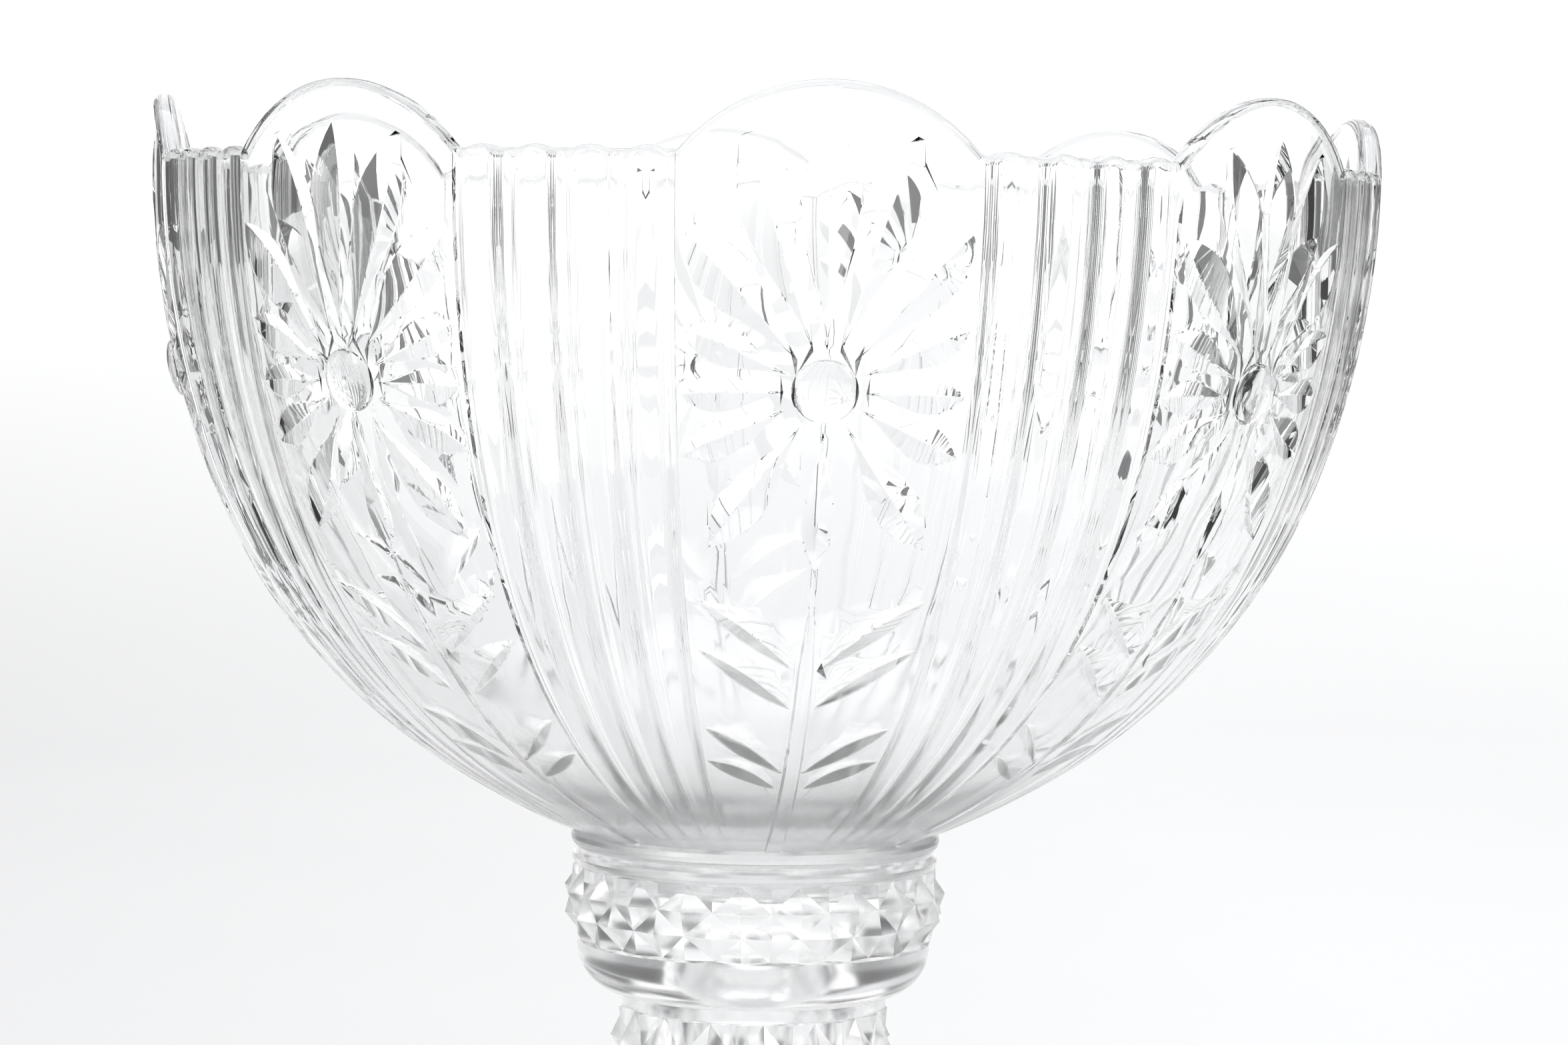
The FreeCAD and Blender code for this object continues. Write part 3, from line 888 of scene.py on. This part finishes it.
spot = nodes.new("ShaderNodeTexCoord")
split = nodes.new("ShaderNodeSeparateXYZ")
grain = nodes.new("ShaderNodeTexNoise")
grain.inputs["Scale"].default_value = 3.0
paper = nodes.new("ShaderNodeValToRGB")
paper.color_ramp.elements[0].color = (0.78, 0.78, 0.785, 1)
paper.color_ramp.elements[1].color = (0.82, 0.82, 0.82, 1)
rise = ramp_over(-0.13, 0.5, 0.0, 1.0)               # low to high: from lit paper to glow
# painted shade: the floor's colour is scaled down towards the left, so that side looks as if it
# were in softer light
painted_side_shade = ramp_over(-0.7, 0.3, 0.68, 0.92)         # the left of the floor is in softer light
back = ramp_over(-3.4, 3.0, 1.01, 1.12)              # the far side glows a little more
paper_with_painted_shade = nodes.new("ShaderNodeVectorMath")
paper_with_painted_shade.operation = "SCALE"
high = nodes.new("ShaderNodeMix")
high.data_type = "RGBA"
high.inputs["B"].default_value = (0.08, 0.08, 0.08, 1)
glow = nodes.new("ShaderNodeMath")
glow.operation = "MULTIPLY"
links.new(spot.outputs["Object"], grain.inputs["Vector"])
links.new(spot.outputs["Object"], split.inputs["Vector"])
links.new(grain.outputs["Fac"], paper.inputs["Fac"])
links.new(split.outputs["X"], painted_side_shade.inputs["Value"])
links.new(split.outputs["Y"], back.inputs["Value"])
links.new(split.outputs["Z"], rise.inputs["Value"])
links.new(paper.outputs["Color"], paper_with_painted_shade.inputs["Vector"])
links.new(painted_side_shade.outputs["Result"], paper_with_painted_shade.inputs["Scale"])
links.new(paper_with_painted_shade.outputs["Vector"], high.inputs["A"])
links.new(rise.outputs["Result"], high.inputs["Factor"])
links.new(high.outputs["Result"], shader.inputs["Base Color"])
links.new(rise.outputs["Result"], glow.inputs[0])
links.new(back.outputs["Result"], glow.inputs[1])
links.new(glow.outputs["Value"], shader.inputs["Emission Strength"])
sweep.data.materials.append(sweep_paint)
print("sweep paint has", len(nodes), "nodes")

# %% [markdown]
# ## Lights and dark cards
#
# Three soft lamps light the glass: one on each side for streaks along the flutes, and a broad one
# overhead. Clear glass on a pale ground nearly vanishes, so a dark card stands well out on each
# side behind the bowl. The cards are hidden from the eye and throw no shadow, but the glass picks
# them up in its petals and flutes.

# %% Soft lights
MIDDLE = Vector((0, 0, 0.22))                    # what the lamps face, about the bowl's middle


def softbox(name, spot, size, power):
    """A large rectangular lamp that faces the bowl."""
    data = bpy.data.lights.new(name, "AREA")
    data.shape = "RECTANGLE"
    data.size, data.size_y = size
    data.energy = power
    lamp = bpy.data.objects.new(name, data)
    lamp.location = spot
    lamp.rotation_euler = (MIDDLE - Vector(spot)).to_track_quat("-Z", "Y").to_euler()
    bpy.context.collection.objects.link(lamp)
    return lamp


softbox("left_softbox", (-1.5, -1.1, 1.1), (0.5, 1.3), 9)
softbox("right_softbox", (1.6, -0.9, 1.2), (0.5, 1.3), 9)
softbox("top_softbox", (0.0, 0.6, 2.4), (1.6, 1.6), 11)

# %% The dark cards and the air
card_paint = bpy.data.materials.new("dark_card")
card_paint.use_nodes = True
nodes, links = card_paint.node_tree.nodes, card_paint.node_tree.links
felt = nodes.new("ShaderNodeTexNoise")
felt.inputs["Scale"].default_value = 60.0
felt_color = nodes.new("ShaderNodeValToRGB")
felt_color.color_ramp.elements[0].color = (0.05, 0.05, 0.052, 1)
felt_color.color_ramp.elements[1].color = (0.08, 0.08, 0.082, 1)
links.new(felt.outputs["Fac"], felt_color.inputs["Fac"])
links.new(felt_color.outputs["Color"], nodes["Principled BSDF"].inputs["Base Color"])


def dark_card(name, turn, away, width, low, high):
    """An upright dark card, hidden from the eye. turn is degrees from straight behind."""
    bpy.ops.object.select_all(action="DESELECT")
    bpy.ops.mesh.primitive_grid_add(x_subdivisions=6, y_subdivisions=2, size=2, location=(0, 0, 0))
    card = bpy.context.object
    card.name = name
    for v in card.data.vertices:
        angle = math.radians(turn) + v.co.x * width / 2 / away
        height = low + (v.co.y + 1) / 2 * (high - low)
        v.co = (away * math.sin(angle), away * math.cos(angle), height)
    card.data.materials.append(card_paint)
    card.visible_camera = card.visible_diffuse = card.visible_shadow = False
    print(name, "covers", round(math.degrees(width / away)), "degrees")


dark_card("left_card", -46, 2.0, 1.8, 0.0, 2.0)
dark_card("right_card", 49, 2.0, 1.6, 0.0, 2.0)

world = bpy.data.worlds.new("studio_air")
world.use_nodes = True
world.node_tree.nodes["Background"].inputs["Color"].default_value = (0.95, 0.97, 1.0, 1)
world.node_tree.nodes["Background"].inputs["Strength"].default_value = 0.8
bpy.context.scene.world = world

# %% [markdown]
# ## The camera
#
# The eye is a little below the rim and tips down slightly, close enough for the near scallop to
# look bigger than the far ones. It stands a little to the left of a flower panel's middle.

# %% Set the camera
CAMERA_AWAY, CAMERA_TURN = 1.0848, math.radians(-5.30)
CAMERA_DOWN, CAMERA_ROLL = math.radians(3.087), math.radians(1.023)
CAMERA_DROP = 0.0299                             # the eye is this far under the rim's height
camera_data = bpy.data.cameras.new("view")
camera_data.lens, camera_data.sensor_width = 99.48, 36.0
camera_data.shift_x = 0.0148
camera = bpy.data.objects.new("view", camera_data)
bpy.context.collection.objects.link(camera)
eye = Vector((math.sin(CAMERA_TURN) * CAMERA_AWAY, -math.cos(CAMERA_TURN) * CAMERA_AWAY,
              RIM_Z - CAMERA_DROP))
camera.matrix_world = (Matrix.Translation(eye) @ Matrix.Rotation(CAMERA_TURN, 4, "Z")
                       @ Matrix.Rotation(math.pi / 2 - CAMERA_DOWN, 4, "X")
                       @ Matrix.Rotation(CAMERA_ROLL, 4, "Z"))
bpy.context.scene.camera = camera
bpy.context.scene.view_settings.view_transform = "Standard"
GLASS_BOUNCES = 28                               # light crosses many skins of glass on its way
bpy.context.scene.cycles.max_bounces = GLASS_BOUNCES
bpy.context.scene.cycles.transmission_bounces = GLASS_BOUNCES
bpy.context.scene.cycles.glossy_bounces = 10
print("the eye is", round(eye.length, 3), "m from the middle of the foot")
